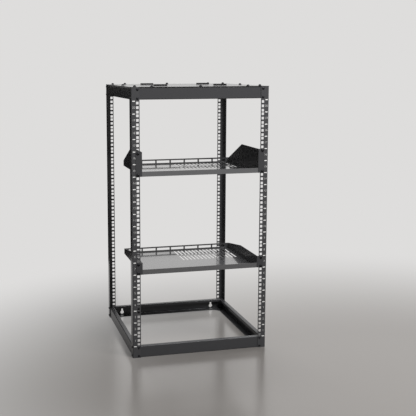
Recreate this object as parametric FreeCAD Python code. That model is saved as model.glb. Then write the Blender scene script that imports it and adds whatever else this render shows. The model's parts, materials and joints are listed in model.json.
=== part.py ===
import FreeCAD, Part
import math
import os

Vec = FreeCAD.Vector

# Units of height and the square-hole pattern of a 19 inch rack, in millimetres
rack_unit = 44.45
unit_count = 20
hole_offsets = (6.35, 22.225, 38.1)
hole_side = 9.5
hole_from_side = 22.45

# Posts: folded angle, the hole flange facing front or rear and the other facing outwards
rack_width = 510.0
rack_depth = 520.0
post_sheet = 2.0
post_flange_width = 30.0
post_side_width = 30.0
base_height = 43.5
head_height = 48.0

# Rails of the base and head frames: folded channels inside the posts, open to the inside
rail_sheet = 1.5
rail_clearance = 0.25
rail_height = 43.0
rail_top_flange = 18.0
rail_bottom_flange = 28.0
base_return_lip = 10.0
bend_radius = 1.5
gusset_leg = 75.0

# Top plate
plate_sheet = 1.5
plate_tab_width = 52.0
plate_tab_height = 6.0
plate_tab_spacing_x = 230.0
plate_tab_spacing_y = 230.0

# Keyholes in the rear base rail
keyhole_from_side = 57.5
keyhole_head_radius = 7.5
keyhole_neck_width = 7.0
keyhole_head_height = 12.5
keyhole_length = 28.0

# Shelves: a floor tray with a front lip and a windowed rear lip, hung between two side brackets
shelf_sheet = 1.5
shelf_from_side = 36.0
shelf_depth = 340.0
shelf_lip_height = 18.0
shelf_rear_height = 21.0
tray_clearance = 0.2
bracket_flat = 185.0
ear_clearance = 0.4
ear_width = 21.0
window_count = 7
window_bar = 6.0
window_end_bar = 15.9
window_height = 9.5
window_base = 4.5
slot_count = 15
slot_pitch = 15.0
slot_from_end = 22.3
slot_width = 7.5
slot_corner = 2.2
slot_length = 76.0
slot_row_gap = 7.0
slot_rows_from_front = 171.0

# name, ear height in units, units below it
shelves = (
    ("upper_shelf", 2, 14),
    ("lower_shelf", 1, 6),
)

half_width = rack_width / 2
half_depth = rack_depth / 2
post_height = base_height + unit_count * rack_unit + head_height
hole_x = half_width - hole_from_side
inner_x = half_width - post_sheet
inner_y = half_depth - post_sheet
wall_x = half_width - shelf_from_side
tray_end = wall_x - shelf_sheet - tray_clearance
through = 10.0  # half length of the cutters through a sheet
overrun = 1.0  # how far a cutter passes the ends of what it takes off


def box(x, y, z):
    # Box between a low and a high value on each axis
    size = [high - low for low, high in (x, y, z)]
    return Part.makeBox(*size, Vec(x[0], y[0], z[0]))


def folded(points, sheet, to_space, run):
    # Sheet folded along flat points, thick to the left of the path, then extruded along run
    path = [Vec(u, v, 0) for u, v in points]
    ways = [(b - a).normalize() for a, b in zip(path, path[1:])]
    lefts = [Vec(-w.y, w.x, 0) for w in ways]
    near = [path[0]]
    far = [path[0] + lefts[0] * sheet]
    for i in range(1, len(path) - 1):
        turn = 1 if ways[i - 1].cross(ways[i]).z > 0 else -1
        angle = ways[i - 1].getAngle(ways[i])
        near_radius = bend_radius + (sheet if turn > 0 else 0)
        far_radius = bend_radius + (0 if turn > 0 else sheet)
        reach = near_radius * math.tan(angle / 2)
        centre = path[i] - ways[i - 1] * reach + lefts[i - 1] * turn * near_radius
        outward = (path[i] - centre).normalize()
        for side, radius in ((near, near_radius), (far, far_radius)):
            side.append(centre - lefts[i - 1] * turn * radius)
            side.append(centre + outward * radius)
            side.append(centre - lefts[i] * turn * radius)
    near.append(path[-1])
    far.append(path[-1] + lefts[-1] * sheet)
    edges = []
    for side in (near, far):
        side = [to_space(p.x, p.y) for p in side]
        edges.append(Part.makeLine(side[0], side[1]))
        for i in range(1, len(side) - 1, 3):
            edges.append(Part.Arc(side[i], side[i + 1], side[i + 2]).toShape())
            edges.append(Part.makeLine(side[i + 2], side[i + 3]))
    for near_end, far_end in ((near[0], far[0]), (near[-1], far[-1])):
        edges.append(Part.makeLine(to_space(near_end.x, near_end.y), to_space(far_end.x, far_end.y)))
    wire = Part.Wire(Part.__sortEdges__(edges))
    return Part.Face(wire).extrude(run)


def plan(u, v):
    return Vec(u, v, 0)


def disc(radius, x, y, z):
    # Round cutter along Y, centred on a point
    return Part.makeCylinder(radius, 2 * through, Vec(x, y - through, z), Vec(0, 1, 0))


def unit_holes():
    # Square holes of the front left post, from the lowest unit up
    half = hole_side / 2
    cutters = []
    for unit in range(unit_count):
        for offset in hole_offsets:
            z = base_height + unit * rack_unit + offset
            cutters.append(box(
                (-hole_x - half, -hole_x + half),
                (-half_depth - through, -half_depth + through),
                (z - half, z + half),
            ))
    return cutters


def post():
    # Front left post
    path = (
        (-half_width, -half_depth + post_side_width),
        (-half_width, -half_depth),
        (-half_width + post_flange_width, -half_depth),
    )
    angle = folded(path, post_sheet, plan, Vec(0, 0, post_height))
    return angle.cut(unit_holes())


def channel_path(low, lip):
    # Channel section: top flange, web at zero and bottom flange, with a return lip where there is one
    high = low + rail_height
    path = [(rail_top_flange, high), (0, high), (0, low), (rail_bottom_flange, low)]
    if lip:
        path.insert(0, (rail_top_flange, high - lip))
    return path


def rail_x(low, lip):
    # Front rail between the posts, its flanges cut short beside the side rails
    face = -inner_y + rail_clearance
    end = inner_x - rail_clearance
    rail = folded(channel_path(low, lip), rail_sheet, lambda u, v: Vec(-end, face + u, v), Vec(2 * end, 0, 0))
    middle = low + rail_height / 2
    cutters = []
    for flange, z in (
        (rail_bottom_flange, (low - overrun, middle)),
        (rail_top_flange, (middle, low + rail_height + overrun)),
    ):
        reach = end - flange - rail_clearance
        for x in ((-end - overrun, -reach), (reach, end + overrun)):
            cutters.append(box(x, (face + rail_sheet, face + rail_bottom_flange + overrun), z))
    return rail.cut(cutters)


def rail_y(low, lip):
    # Left rail between the webs of the front and rear rails
    face = -inner_x + rail_clearance
    end = inner_y - rail_sheet - 2 * rail_clearance
    return folded(channel_path(low, lip), rail_sheet, lambda u, v: Vec(face + u, -end, v), Vec(0, 2 * end, 0))


def keyhole(x):
    # Round head below, a narrow neck rising from it
    half = keyhole_neck_width / 2
    top = keyhole_head_height - keyhole_head_radius + keyhole_length - half
    neck = box((x - half, x + half), (inner_y - through, inner_y + through), (keyhole_head_height, top))
    head = disc(keyhole_head_radius, x, inner_y, keyhole_head_height)
    return head.fuse([neck, disc(half, x, inner_y, top)])


def gusset():
    # Front left corner plate on the base flanges, clear of their bends
    x = -inner_x + rail_sheet + rail_clearance + bend_radius
    y = -inner_y + rail_sheet + rail_clearance + bend_radius
    corner = Vec(x, y, rail_sheet)
    outline = [corner, corner + Vec(gusset_leg, 0, 0), corner + Vec(0, gusset_leg, 0), corner]
    return Part.Face(Part.makePolygon(outline)).extrude(Vec(0, 0, rail_sheet))


def top_plate():
    # Flat sheet with four low tabs bent up, each behind the slot it came out of
    low = post_height
    high = low + plate_sheet
    plate = box((-half_width, half_width), (-half_depth, half_depth), (low, high))
    slots = []
    tabs = []
    for sx in (-1, 1):
        for sy in (-1, 1):
            x = sx * plate_tab_spacing_x / 2
            y = sy * plate_tab_spacing_y / 2
            across = (x - plate_tab_width / 2, x + plate_tab_width / 2)
            slots.append(box(across, (y - plate_tab_height, y), (low - through, low + through)))
            tabs.append(box(across, (y, y + plate_sheet), (low, high + plate_tab_height)))
    return plate.cut(slots).fuse(tabs).removeSplitter()


def slot(x, y):
    # Slot cutter running front to back through the floor, its corners cut off
    half = slot_width / 2
    end = slot_length / 2
    outline = []
    for sx, sy in ((-1, -1), (1, -1), (1, 1), (-1, 1)):
        side = Vec(x + sx * half, y + sy * (end - slot_corner), -through)
        tip = Vec(x + sx * (half - slot_corner), y + sy * end, -through)
        outline += [side, tip] if sx * sy > 0 else [tip, side]
    return Part.Face(Part.makePolygon(outline + outline[:1])).extrude(Vec(0, 0, 2 * through))


def tray():
    # Floor with its top at zero, front lip and windowed rear lip, and slots right of centre only
    front = -half_depth
    rear = front + shelf_depth
    across = (-tray_end, tray_end)
    floor = box(across, (front, rear), (-shelf_sheet, 0))
    front_lip = box(across, (front, front + shelf_sheet), (-shelf_sheet, shelf_lip_height - shelf_sheet))
    rear_lip = box(across, (rear - shelf_sheet, rear), (-shelf_sheet, shelf_rear_height - shelf_sheet))
    body = floor.fuse([front_lip, rear_lip]).removeSplitter()
    cutters = []
    window_pitch = (2 * (tray_end - window_end_bar) + window_bar) / window_count
    for i in range(window_count):
        left = -tray_end + window_end_bar + i * window_pitch
        cutters.append(box(
            (left, left + window_pitch - window_bar),
            (rear - through, rear + through),
            (window_base, window_base + window_height),
        ))
    for row in range(2):
        y = front + slot_rows_from_front + slot_length / 2 + row * (slot_length + slot_row_gap)
        for i in range(slot_count):
            cutters.append(slot(tray_end - slot_from_end - i * slot_pitch, y))
    return body.cut(cutters)


def bracket(units):
    # Left side bracket: wall with its upper edge falling to the rear, ear turned out in front of the post
    front = -half_depth - shelf_sheet
    rear = -half_depth + shelf_depth
    high = units * rack_unit - ear_clearance
    outline = [
        Vec(-wall_x, front, ear_clearance),
        Vec(-wall_x, rear, ear_clearance),
        Vec(-wall_x, rear, ear_clearance + shelf_rear_height),
        Vec(-wall_x, -half_depth + bracket_flat, high),
        Vec(-wall_x, front, high),
        Vec(-wall_x, front, ear_clearance),
    ]
    wall = Part.Face(Part.makePolygon(outline)).extrude(Vec(shelf_sheet, 0, 0))
    ear = box((-wall_x - ear_width, -wall_x), (front, front + shelf_sheet), (ear_clearance, high))
    return wall.fuse(ear).removeSplitter()


def mirrored(shape, x=False, y=False):
    if x:
        shape = shape.mirror(Vec(), Vec(1, 0, 0))
    if y:
        shape = shape.mirror(Vec(), Vec(0, 1, 0))
    return shape


def build():
    # Every node by name, in its place
    nodes = {}
    corner = post()
    nodes["post_front_left"] = corner
    nodes["post_front_right"] = mirrored(corner, x=True)
    nodes["post_rear_left"] = mirrored(corner, y=True)
    nodes["post_rear_right"] = mirrored(corner, x=True, y=True)
    for frame, low, lip in (("base", 0, base_return_lip), ("head", post_height - rail_height, 0)):
        front = rail_x(low, lip)
        left = rail_y(low, lip)
        rear = mirrored(front, y=True)
        if frame == "base":
            rear = rear.cut([keyhole(side * (half_width - keyhole_from_side)) for side in (-1, 1)])
        nodes[frame + "_rail_front"] = front
        nodes[frame + "_rail_rear"] = rear
        nodes[frame + "_rail_left"] = left
        nodes[frame + "_rail_right"] = mirrored(left, x=True)
    plate = gusset()
    for end, flip_y in (("front", False), ("rear", True)):
        nodes["gusset_%s_left" % end] = mirrored(plate, y=flip_y)
        nodes["gusset_%s_right" % end] = mirrored(plate, x=True, y=flip_y)
    nodes["top_plate"] = top_plate()
    for name, units, below in shelves:
        z = base_height + below * rack_unit
        tray_shape = tray()
        tray_shape.translate(Vec(0, 0, z + ear_clearance + shelf_sheet))
        side = bracket(units)
        side.translate(Vec(0, 0, z))
        nodes[name + "_tray"] = tray_shape
        nodes[name + "_bracket_left"] = side
        nodes[name + "_bracket_right"] = mirrored(side, x=True)
    return nodes


os.makedirs("parts", exist_ok=True)
for node, shape in build().items():
    if not shape.isValid():
        print("not valid:", node)
    print(node, len(shape.Solids), round(shape.Volume / 1000, 2))
    shape.exportStep("parts/%s.step" % node)
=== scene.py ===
import json
import math
import bmesh
import bpy
from mathutils import Matrix, Quaternion, Vector


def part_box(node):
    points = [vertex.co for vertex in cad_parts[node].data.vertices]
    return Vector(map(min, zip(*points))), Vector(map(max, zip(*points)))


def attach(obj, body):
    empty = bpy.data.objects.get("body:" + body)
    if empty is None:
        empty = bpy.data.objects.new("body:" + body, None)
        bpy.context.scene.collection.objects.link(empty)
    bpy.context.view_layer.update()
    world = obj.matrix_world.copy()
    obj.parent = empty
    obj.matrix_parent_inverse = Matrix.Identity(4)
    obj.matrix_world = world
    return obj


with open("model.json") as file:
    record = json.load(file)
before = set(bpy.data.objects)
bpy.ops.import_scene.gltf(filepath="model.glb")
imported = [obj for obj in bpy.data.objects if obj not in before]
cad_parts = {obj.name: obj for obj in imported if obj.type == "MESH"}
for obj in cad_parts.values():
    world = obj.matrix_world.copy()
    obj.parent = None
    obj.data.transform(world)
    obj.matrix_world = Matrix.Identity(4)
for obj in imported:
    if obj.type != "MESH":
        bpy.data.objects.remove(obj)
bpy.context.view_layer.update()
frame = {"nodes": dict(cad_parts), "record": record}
scene = bpy.context.scene
nodes = frame["nodes"]
mm = 0.001
sides = (("left", -1), ("right", 1))
ends = (("front", -1), ("rear", 1))
closeBy = 0.01 * mm  # nearer than this counts as the same place

print("frame loaded:", len(nodes), "nodes")

# Places worked out from the frame
plateLow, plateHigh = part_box("top_plate")
rackHalfWidth = plateHigh.x
rackHalfDepth = plateHigh.y
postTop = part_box("post_front_left")[1].z
shelves = ("upper_shelf", "lower_shelf")

# The 19 inch grid that the posts are punched to
unit = 44.45 * mm
unitCount = 20
firstUnit = 43.5 * mm  # foot of the lowest unit, above the floor
holeColumn = 232.55 * mm  # from the middle of the rack to a column of square holes
holeFromUnit = 6.35 * mm  # from the end of a unit to its outer hole


def linearColour(hexText):
    # sRGB hex to the linear values that shaders use
    parts = [int(hexText[i:i + 2], 16) / 255 for i in (0, 2, 4)]
    linear = [c / 12.92 if c <= 0.04045 else ((c + 0.055) / 1.055) ** 2.4 for c in parts]
    return (*linear, 1.0)


def addNode(tree, kind, settings=None, values=None, links=None):
    node = tree.nodes.new(kind)
    for key, value in (settings or {}).items():
        setattr(node, key, value)
    for key, value in (values or {}).items():
        node.inputs[key].default_value = value
    for key, source in (links or {}).items():
        tree.links.new(source, node.inputs[key])
    return node


def emptyMaterial(name):
    material = bpy.data.materials.new(name)
    material.use_nodes = True
    material.node_tree.nodes.clear()
    return material, material.node_tree


def finishMaterial(tree, shader):
    addNode(tree, "ShaderNodeOutputMaterial", links={"Surface": shader})


# Powder coat on folded steel: sprayed and baked paint, black and glossy, with a faint orange peel
powderCoat = {
    "slots": {
        # Painted light and shade: one black coat, made a little lighter or darker per part for how
        # each is lit
        "posts": {"colour": "464648", "roughness": 0.2, "ior": 1.3, "coat": 0.05},
        "frames": {"colour": "424244", "roughness": 0.26, "ior": 1.3, "coat": 0.05},
        # Painted shade: the top plate is near black, which darkens its front edge like the
        # shadowed gap below it
        "top_plate": {"colour": "0e0e10", "roughness": 0.35, "ior": 1.4, "coat": 0.35},
        "shelf_trays": {"colour": "4c4c4e", "roughness": 0.2, "ior": 1.65, "coat": 1.0},
        "shelf_brackets": {"colour": "404042", "roughness": 0.22, "ior": 1.3, "coat": 0.05},
    },
    "coatRoughness": 0.06,
    "peelWidth": 2.5 * mm,  # real peel is about 1 mm across, drawn coarser so that it shows
    "peelHeight": 0.2 * mm,
    "peelStrength": 0.03,
    "peelDetail": 2.0,
}


def powderCoatMaterial(slotName):
    material, tree = emptyMaterial("powder coat " + slotName.replace("_", " "))
    look = powderCoat["slots"][slotName]
    place = addNode(tree, "ShaderNodeTexCoord").outputs["Object"]
    peel = addNode(
        tree, "ShaderNodeTexNoise",
        values={"Scale": 1 / powderCoat["peelWidth"], "Detail": powderCoat["peelDetail"]},
        links={"Vector": place},
    )
    bump = addNode(
        tree, "ShaderNodeBump",
        values={"Strength": powderCoat["peelStrength"], "Distance": powderCoat["peelHeight"]},
        links={"Height": peel.outputs["Fac"]},
    )
    paint = addNode(
        tree, "ShaderNodeBsdfPrincipled",
        values={
            "Base Color": linearColour(look["colour"]),
            "Roughness": look["roughness"],
            "IOR": look["ior"],
            "Coat Weight": look["coat"],
            "Coat Roughness": powderCoat["coatRoughness"],
        },
        links={"Normal": bump.outputs["Normal"]},
    )
    finishMaterial(tree, paint.outputs["BSDF"])
    return material


# Black oxide screws: a thin dark layer grown on the steel, so dull metal with a soft glint
screwFinish = {"colour": "2a2a2c", "roughness": 0.38}


def blackOxideMaterial():
    material, tree = emptyMaterial("black oxide screw")
    metal = addNode(
        tree, "ShaderNodeBsdfPrincipled",
        values={
            "Base Color": linearColour(screwFinish["colour"]),
            "Metallic": 1.0,
            "Roughness": screwFinish["roughness"],
        },
    )
    finishMaterial(tree, metal.outputs["BSDF"])
    return material


# Screen printed ink: flat and matt, thick enough to hide the black under it
printInk = {"marks": "f4f4f2", "numbers": "c4c4c2", "roughness": 0.6}


def printInkMaterial(part):
    material, tree = emptyMaterial("printed ink " + part)
    ink = addNode(
        tree, "ShaderNodeBsdfPrincipled",
        values={"Base Color": linearColour(printInk[part]), "Roughness": printInk["roughness"]},
    )
    finishMaterial(tree, ink.outputs["BSDF"])
    return material


def paintNodes(paints):
    for part in frame["record"]["subparts"]:
        mesh = nodes[part["node"]].data
        mesh.materials.clear()
        mesh.materials.append(paints[part["material_slot"]])


coats = {slotName: powderCoatMaterial(slotName) for slotName in powderCoat["slots"]}
paintNodes(coats)
blackOxide = blackOxideMaterial()
print("powder coat on", len(nodes), "nodes")


def meshFrom(form, name):
    mesh = bpy.data.meshes.new(name)
    form.to_mesh(mesh)
    form.free()
    return mesh


def addObject(name, data):
    # New object at the origin, linked to the scene
    thing = bpy.data.objects.new(name, data)
    scene.collection.objects.link(thing)
    return thing


def addPiece(name, form, material):
    mesh = meshFrom(form, name)
    mesh.materials.append(material)
    piece = addObject(name, mesh)
    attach(piece, "root")


def gather(parts):
    # One bmesh from several meshes, each with its matrix
    form = bmesh.new()
    for mesh, matrix in parts:
        start = len(form.verts)
        form.from_mesh(mesh)
        form.verts.ensure_lookup_table()
        bmesh.ops.transform(form, matrix=matrix, verts=form.verts[start:])
    return form


def facing(spot, outward):
    # Matrix that takes a screw standing on +Z to a spot, its head outwards
    return Matrix.Translation(spot) @ outward.to_track_quat("Z", "Y").to_matrix().to_4x4()


# Button head screws with a round socket
buttonHead = {
    "radius": 4.6 * mm,
    "height": 2.6 * mm,
    "domeSteps": 6,  # from the edge to the crown, as if there were no socket
    "socketRadius": 2.0 * mm,
    "socketDepth": 1.4 * mm,
    "socketRim": 0.96,  # its height as a share of the head's
    "socketFloor": 0.95,  # its width as a share of the socket's
    "shankRadius": 2.4 * mm,
    "segments": 24,
}


def buttonScrew(length, scale=1.0):
    # Half a section, from the shank's tip over the dome into the socket, spun once round
    radius, height, socket, depth, shank = [
        buttonHead[key] * scale
        for key in ("radius", "height", "socketRadius", "socketDepth", "shankRadius")
    ]
    section = [(0, -length), (shank, -length), (shank, 0)]
    for step in range(buttonHead["domeSteps"]):
        turn = math.radians(90 / buttonHead["domeSteps"] * step)
        if radius * math.cos(turn) > socket:
            section.append((radius * math.cos(turn), height * math.sin(turn)))
    section.append((socket, height * buttonHead["socketRim"]))
    section.append((socket * buttonHead["socketFloor"], height - depth))
    section.append((0, height - depth))
    form = bmesh.new()
    points = [form.verts.new((x, 0, z)) for x, z in section]
    edges = [form.edges.new(pair) for pair in zip(points, points[1:])]
    bmesh.ops.spin(
        form, geom=points + edges, cent=(0, 0, 0), axis=(0, 0, 1),
        angle=math.tau, steps=buttonHead["segments"], use_merge=True,
    )
    bmesh.ops.remove_doubles(form, verts=form.verts, dist=closeBy)
    bmesh.ops.recalc_face_normals(form, faces=form.faces)
    return meshFrom(form, "button screw")


nutBevel = 0.12  # share of a nut's height


def plainNut(corners, radius, height):
    # Prism that hangs from the origin, the rims of both ends bevelled
    form = bmesh.new()
    bmesh.ops.create_cone(
        form, cap_ends=True, segments=corners, radius1=radius, radius2=radius, depth=height,
    )
    bmesh.ops.translate(form, verts=form.verts, vec=(0, 0, -height / 2))
    rims = [e for e in form.edges if abs(e.verts[0].co.z - e.verts[1].co.z) < closeBy]
    bmesh.ops.bevel(
        form, geom=rims, offset=height * nutBevel,
        segments=1, profile=0.5, affect="EDGES", material=-1,
    )
    return meshFrom(form, "nut")


# Bolts that hold the rails to the posts, with hexagon nuts inside
railBolts = {
    "shank": 7 * mm,
    "lowHeights": (7 * mm, 38 * mm),
    "highFromTop": (7.5 * mm, 38.5 * mm),
    "sideFromFace": 13 * mm,
    "nutCorners": 6,
    "nutRadius": 4.6 * mm,
    "nutHeight": 3 * mm,
    "sheets": 3.75 * mm,  # post, clearance and rail
}


def railBoltPieces():
    screw = buttonScrew(railBolts["shank"])
    nut = plainNut(railBolts["nutCorners"], railBolts["nutRadius"], railBolts["nutHeight"])
    heights = list(railBolts["lowHeights"]) + [postTop - z for z in railBolts["highFromTop"]]
    sideBoltReach = rackHalfDepth - railBolts["sideFromFace"]
    for endName, end in ends:
        for sideName, side in sides:
            outY = Vector((0, end, 0))
            outX = Vector((side, 0, 0))
            parts = []
            for z in heights:
                endSpot = Vector((side * holeColumn, end * rackHalfDepth, z))
                sideSpot = Vector((side * rackHalfWidth, end * sideBoltReach, z))
                for spot, outward in ((endSpot, outY), (sideSpot, outX)):
                    parts.append((screw, facing(spot, outward)))
                    parts.append((nut, facing(spot - outward * railBolts["sheets"], outward)))
            addPiece("rail_bolts_%s_%s" % (endName, sideName), gather(parts), blackOxide)


railBoltPieces()
print("rail bolts made")

# Screws in the top plate: three along each edge, their pan heads standing on it
plateScrews = {
    "plateSheet": 1.5 * mm,
    "shank": 4 * mm,
    "panWidth": 1.25,  # a pan head is this much wider and taller than a button head
    "panHeight": 2.2,
    "endColumns": (-178 * mm, 0, 178 * mm),
    "fromEnd": 11 * mm,
    "sideRows": (-220 * mm, 0, 220 * mm),
    "fromSide": 21 * mm,
}


def plateScrewPiece():
    screw = buttonScrew(plateScrews["shank"])
    top = plateLow.z + plateScrews["plateSheet"]
    pan = Matrix.Diagonal((
        plateScrews["panWidth"], plateScrews["panWidth"], plateScrews["panHeight"], 1,
    ))
    spots = []
    for side in (-1, 1):
        for x in plateScrews["endColumns"]:
            spots.append(Vector((x, side * (rackHalfDepth - plateScrews["fromEnd"]), top)))
        for y in plateScrews["sideRows"]:
            spots.append(Vector((side * (rackHalfWidth - plateScrews["fromSide"]), y, top)))
    parts = [(screw, facing(spot, Vector((0, 0, 1))) @ pan) for spot in spots]
    addPiece("plate_screws", gather(parts), blackOxide)


plateScrewPiece()
print("plate screws made")

# Shelf ear screws, with square cage nuts behind the post
earScrews = {
    "shank": 12 * mm,
    "scale": 1.25,
    "nutCorners": 4,
    "nutRadius": 8.5 * mm,
    "nutHeight": 5 * mm,
    "sheets": 2 * mm,
}


def earScrewPieces():
    screw = buttonScrew(earScrews["shank"], earScrews["scale"])
    nut = plainNut(earScrews["nutCorners"], earScrews["nutRadius"], earScrews["nutHeight"])
    nutTurn = Matrix.Rotation(math.pi / 4, 4, "Z")
    outward = Vector((0, -1, 0))
    for shelf in shelves:
        # The bracket tells how many units the shelf takes, and where the lowest starts
        low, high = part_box(shelf + "_bracket_left")
        units = round((high.z - low.z) / unit)
        foot = firstUnit + round((low.z - firstUnit) / unit) * unit
        parts = []
        for side in (-1, 1):
            for z in (foot + holeFromUnit, foot + units * unit - holeFromUnit):
                spot = Vector((side * holeColumn, low.y, z))
                seat = Vector((side * holeColumn, -rackHalfDepth + earScrews["sheets"], z))
                parts.append((screw, facing(spot, outward)))
                parts.append((nut, facing(seat, outward) @ nutTurn))
        addPiece(shelf + "_screws", gather(parts), blackOxide)


earScrewPieces()
print("ear screws made")

# Unit marks and numbers printed on the front posts
unitPrint = {
    "column": 245.9 * mm,
    "markWidth": 9.5 * mm,
    "markHeight": 3.2 * mm,
    "numberHeight": 7.5 * mm,
    "capShare": 0.7,  # height of a figure as a share of the font's size
    "curveSteps": 3,
    "thickness": 0.12 * mm,
}


def printSpot(side, unitsUp):
    # Middle of a print that lies on the front face of a post
    return Matrix.Translation((
        side * unitPrint["column"],
        -rackHalfDepth - unitPrint["thickness"] / 2,
        firstUnit + unitsUp * unit,
    ))


def unitMarkForm(side):
    form = bmesh.new()
    size = Matrix.Diagonal((
        unitPrint["markWidth"], unitPrint["thickness"], unitPrint["markHeight"], 1,
    ))
    for i in range(unitCount + 1):
        bmesh.ops.create_cube(form, size=1.0, matrix=printSpot(side, i) @ size)
    return form


def numberMesh(number):
    curve = bpy.data.curves.new("number", "FONT")
    curve.body = str(number)
    curve.size = unitPrint["numberHeight"] / unitPrint["capShare"]
    curve.align_x = "CENTER"
    curve.align_y = "CENTER"
    curve.extrude = unitPrint["thickness"] / 2
    curve.resolution_u = unitPrint["curveSteps"]
    text = bpy.data.objects.new("number", curve)
    mesh = bpy.data.meshes.new_from_object(text)
    bpy.data.objects.remove(text)
    return mesh


def unitNumberForm(side):
    upright = Matrix.Rotation(math.pi / 2, 4, "X")
    return gather([
        (numberMesh(i + 1), printSpot(side, i + 0.5) @ upright) for i in range(unitCount)
    ])


markInk = printInkMaterial("marks")
numberInk = printInkMaterial("numbers")
for sideName, side in sides:
    addPiece("unit_marks_" + sideName, unitMarkForm(side), markInk)
    addPiece("unit_numbers_" + sideName, unitNumberForm(side), numberInk)
print("unit marks printed")

# Floor, backdrop and sky, in metres
stage = {
    "floorColour": "86827e",
    "floorRoughness": 0.2,
    "floorSeal": 0.7,
    "poolCentre": (0.5, -0.9, 0),  # round it the floor shows its paint
    "poolReach": 0.7,
    "fadeReach": 2.2,
    "floorReach": 30.0,
    "backdrop": "dedddc",
    "skyLight": 0.22,
}


def backdropRays(tree):
    # Rays that see the pale backdrop: straight to the camera, mirrored or through glass
    ray = addNode(tree, "ShaderNodeLightPath")
    gloss = addNode(
        tree, "ShaderNodeMath", {"operation": "MAXIMUM"},
        links={0: ray.outputs["Is Glossy Ray"], 1: ray.outputs["Is Transmission Ray"]},
    )
    seen = addNode(
        tree, "ShaderNodeMath", {"operation": "MAXIMUM"},
        links={0: gloss.outputs["Value"], 1: ray.outputs["Is Camera Ray"]},
    )
    return seen.outputs["Value"]


def floorMaterial():
    # Painted and sealed concrete round the rack that fades into the pale backdrop further off
    material, tree = emptyMaterial("studio floor paint")
    place = addNode(tree, "ShaderNodeTexCoord").outputs["Object"]
    reach = addNode(
        tree, "ShaderNodeVectorMath", {"operation": "DISTANCE"},
        values={1: stage["poolCentre"]},
        links={0: place},
    )
    fade = addNode(
        tree, "ShaderNodeMapRange", {"interpolation_type": "SMOOTHSTEP"},
        values={"From Min": stage["poolReach"], "From Max": stage["fadeReach"]},
        links={"Value": reach.outputs["Value"]},
    )
    share = addNode(
        tree, "ShaderNodeMath", {"operation": "MULTIPLY"},
        links={0: fade.outputs["Result"], 1: backdropRays(tree)},
    )
    paint = addNode(
        tree, "ShaderNodeBsdfPrincipled",
        values={
            "Base Color": linearColour(stage["floorColour"]),
            "Roughness": stage["floorRoughness"],
            "Coat Weight": stage["floorSeal"],
            "Coat Roughness": stage["floorRoughness"],
        },
    )
    pale = addNode(
        tree, "ShaderNodeEmission", values={"Color": linearColour(stage["backdrop"])},
    )
    surface = addNode(
        tree, "ShaderNodeMixShader",
        links={0: share.outputs["Value"], 1: paint.outputs["BSDF"], 2: pale.outputs["Emission"]},
    )
    finishMaterial(tree, surface.outputs["Shader"])
    return material


def floorPiece():
    form = bmesh.new()
    bmesh.ops.create_grid(form, x_segments=1, y_segments=1, size=stage["floorReach"])
    mesh = meshFrom(form, "floor")
    mesh.materials.append(floorMaterial())
    return addObject("floor", mesh)


# Black cloth panel behind on the left: only gloss sees it, which keeps the steel's left sides dark
blackFlag = {"place": (-0.6, 1.2, 0.5), "width": 1.1, "height": 1.0, "colour": "0a0a0a"}


def clothMaterial():
    material, tree = emptyMaterial("black cloth")
    cloth = addNode(
        tree, "ShaderNodeBsdfDiffuse", values={"Color": linearColour(blackFlag["colour"])},
    )
    finishMaterial(tree, cloth.outputs["BSDF"])
    return material


def flagPiece():
    form = bmesh.new()
    upright = Matrix.Translation(blackFlag["place"]) @ Matrix.Rotation(math.pi / 2, 4, "X")
    size = Matrix.Diagonal((blackFlag["width"], blackFlag["height"], 1, 1))
    bmesh.ops.create_grid(form, x_segments=1, y_segments=1, size=0.5, matrix=upright @ size)
    mesh = meshFrom(form, "black flag")
    mesh.materials.append(clothMaterial())
    flag = addObject("black flag", mesh)
    flag.visible_camera = False
    flag.visible_diffuse = False
    flag.visible_shadow = False
    return flag


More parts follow.
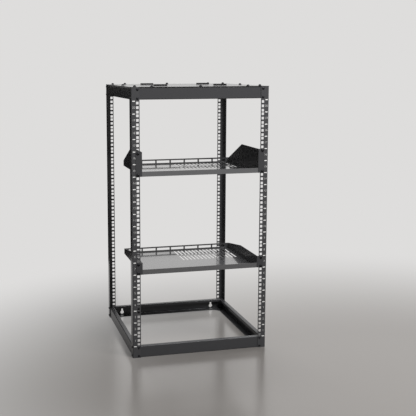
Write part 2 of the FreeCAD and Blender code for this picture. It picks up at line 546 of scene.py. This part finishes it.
def worldLight():
    # Soft sky for the light, and the pale backdrop for what the camera and gloss see
    world = bpy.data.worlds.new("studio")
    world.use_nodes = True
    tree = world.node_tree
    tree.nodes.clear()
    strength = addNode(
        tree, "ShaderNodeMapRange",
        values={"To Min": stage["skyLight"], "To Max": 1.0},
        links={"Value": backdropRays(tree)},
    )
    sky = addNode(
        tree, "ShaderNodeBackground",
        values={"Color": linearColour(stage["backdrop"])},
        links={"Strength": strength.outputs["Result"]},
    )
    addNode(tree, "ShaderNodeOutputWorld", links={"Surface": sky.outputs["Background"]})
    scene.world = world


# Lamps, sized across and up in metres and aimed at the middle of the rack
softboxes = {
    "back softbox": {"place": (0.3, 2.5, 3.2), "across": 2.4, "up": 1.4, "watts": 75},
    "front softbox": {"place": (0.9, -2.0, 2.9), "across": 1.6, "up": 1.2, "watts": 100},
}
lampAim = (0, 0, 0.5)


def lampPieces():
    for name, box in softboxes.items():
        lamp = bpy.data.lights.new(name, "AREA")
        lamp.shape = "RECTANGLE"
        lamp.size = box["across"]
        lamp.size_y = box["up"]
        lamp.energy = box["watts"]
        holder = addObject(name, lamp)
        holder.location = box["place"]
        holder.rotation_mode = "QUATERNION"
        beam = Vector(lampAim) - Vector(box["place"])
        holder.rotation_quaternion = beam.to_track_quat("-Z", "Y")
        holder.visible_camera = False


floorPiece()
flagPiece()
worldLight()
lampPieces()

# Camera: its place in metres, its lens and sensor in millimetres
viewpoint = {
    "place": (-0.8, -2.973, 1.044),
    "yaw": math.radians(13.44),
    "pitch": math.radians(-8.0),
    "roll": math.radians(-0.17),
    "lens": 68.5,
    "sensor": 36,
    "shiftX": 0.115,
    "shiftY": -0.067,
}


def cameraPiece():
    data = bpy.data.cameras.new("camera")
    data.lens = viewpoint["lens"]
    data.sensor_width = viewpoint["sensor"]
    data.shift_x = viewpoint["shiftX"]
    data.shift_y = viewpoint["shiftY"]
    level = math.cos(viewpoint["pitch"])
    ahead = Vector((
        math.sin(viewpoint["yaw"]) * level,
        math.cos(viewpoint["yaw"]) * level,
        math.sin(viewpoint["pitch"]),
    ))
    camera = addObject("camera", data)
    camera.location = viewpoint["place"]
    camera.rotation_mode = "QUATERNION"
    turn = Quaternion((0, 0, 1), viewpoint["roll"])
    camera.rotation_quaternion = ahead.to_track_quat("-Z", "Y") @ turn
    scene.camera = camera


cameraPiece()
scene.view_settings.view_transform = "Standard"
print("stage and camera set")
